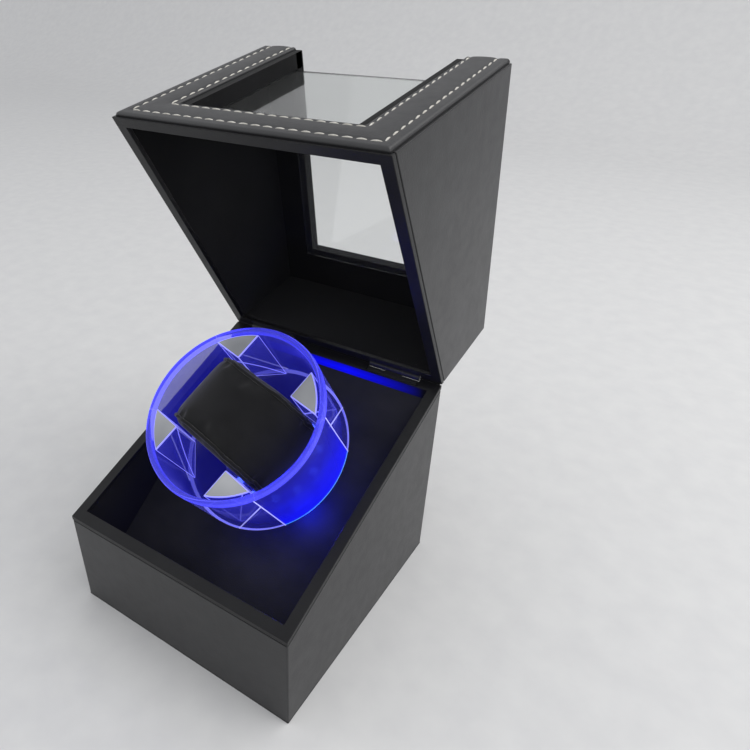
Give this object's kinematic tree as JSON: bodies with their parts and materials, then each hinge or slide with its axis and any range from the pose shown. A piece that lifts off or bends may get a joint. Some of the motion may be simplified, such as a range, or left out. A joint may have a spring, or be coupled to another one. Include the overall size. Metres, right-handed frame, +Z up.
{
  "type": "watch winder box",
  "caption": "Leather covered box cut by a sloping plane, with a hinged windowed lid over a clear, blue lit drum that turns a watch cushion on a tilted axis.",
  "frame": {"origin": "centre of the base's underside, on the surface the box stands on", "axes": "+Z up, +Y to the rear where the lid is hinged, +X to the right seen from the front"},
  "size_m": [0.11, 0.1602, 0.2122],
  "materials": {
    "leather": "fine pebbled faux leather, satin",
    "leather_trim": "folded faux leather edge, satin",
    "padded_leather": "padded faux leather with cream lock stitching",
    "velvet": "short black velvet",
    "felt": "pressed felt",
    "fibreboard": "black dyed medium density fibreboard",
    "clear_drum": "clear polished acrylic, lit blue from behind",
    "clear_block": "clear acrylic wedge with a satin silver face",
    "window": "clear acrylic sheet",
    "cushion_cover": "black velour over foam",
    "foam": "firm open foam",
    "black_plastic": "moulded ABS, fine texture",
    "white_plastic": "moulded acetal",
    "steel": "brushed",
    "zinc_steel": "zinc plated, bright",
    "black_steel": "black lacquered steel, satin",
    "brass": "satin",
    "rubber": "smooth neoprene",
    "circuit_green": "solder masked glass epoxy",
    "circuit_white": "white solder mask",
    "led": "blue surface mount light"
  },
  "bodies": {
    "base": {"base_bottom_felt": "felt", "base_bottom_panel": "fibreboard", "base_front_panel": "fibreboard", "base_rear_panel": "fibreboard", "base_left_panel": "fibreboard", "base_right_panel": "fibreboard", "base_leather_wrap": "leather", "base_velvet_lining": "velvet", "base_rim_trim": "leather_trim", "platform_velvet": "velvet", "platform_board": "fibreboard", "platform_cleats": "fibreboard", "spindle_bearing": "white_plastic", "motor_gearbox": "steel", "motor_housing": "steel", "motor_bracket": "zinc_steel", "pan_screws": "zinc_steel", "drive_belt": "rubber", "led_ring_board": "circuit_white", "led_chips": "led", "control_board": "circuit_green", "board_posts": "brass", "board_screws": "zinc_steel", "board_components": "black_plastic", "power_inlet": "steel", "button_bezel": "black_plastic", "hinge_base_leaves": "black_steel", "hinge_pins": "black_steel", "hinge_base_screws": "black_steel"},
    "drum": {"drum_shell": "clear_drum", "corner_block_1": "clear_block", "corner_block_2": "clear_block", "corner_block_3": "clear_block", "corner_block_4": "clear_block", "drum_hub": "white_plastic", "hub_screws": "zinc_steel", "drive_spindle": "steel", "spindle_clip": "zinc_steel", "spindle_pulley": "white_plastic"},
    "lid": {"lid_leather_wrap": "leather", "lid_velvet_lining": "velvet", "lid_front_panel": "fibreboard", "lid_rear_panel": "fibreboard", "lid_left_panel": "fibreboard", "lid_right_panel": "fibreboard", "lid_top_panel": "fibreboard", "lid_rim_trim": "leather_trim", "front_padded_frame": "padded_leather", "top_padded_frame": "padded_leather", "front_pane_frame": "black_plastic", "front_pane": "window", "top_pane": "window", "hinge_lid_leaves": "black_steel", "hinge_lid_screws": "black_steel"},
    "cushion": {"cushion_core": "foam", "cushion_cover": "cushion_cover"},
    "motor_rotor": {"motor_pulley": "brass", "motor_shaft": "steel"},
    "button": {"mode_button": "black_plastic"}
  },
  "joints": [
    {"name": "lid_hinge", "type": "hinge", "parent": "base", "child": "lid", "pos_m": [0, 0.057, 0.09155], "axis": [-1, 0, 0], "range_deg": [-80, 10]},
    {"name": "drum_spin", "type": "hinge", "parent": "base", "child": "drum", "pos_m": [0, -0.0152, 0.0974], "axis": [0, -0.5807, 0.8141], "continuous": true},
    {"name": "motor_spin", "type": "hinge", "parent": "base", "child": "motor_rotor", "pos_m": [0.032, 0.02226, 0.04489], "axis": [0, -0.5807, 0.8141], "continuous": true},
    {"name": "cushion_lift", "type": "slide", "parent": "drum", "child": "cushion", "axis": [0, -0.5807, 0.8141], "range_m": [0, 0.01]},
    {"name": "button_press", "type": "slide", "parent": "base", "child": "button", "axis": [0, -1, 0], "range_m": [0, 0.0012], "stiffness_N_per_m": 400}
  ],
  "couplings": [
    {"joint": "motor_spin", "follows": "drum_spin", "ratio": 3}
  ]
}
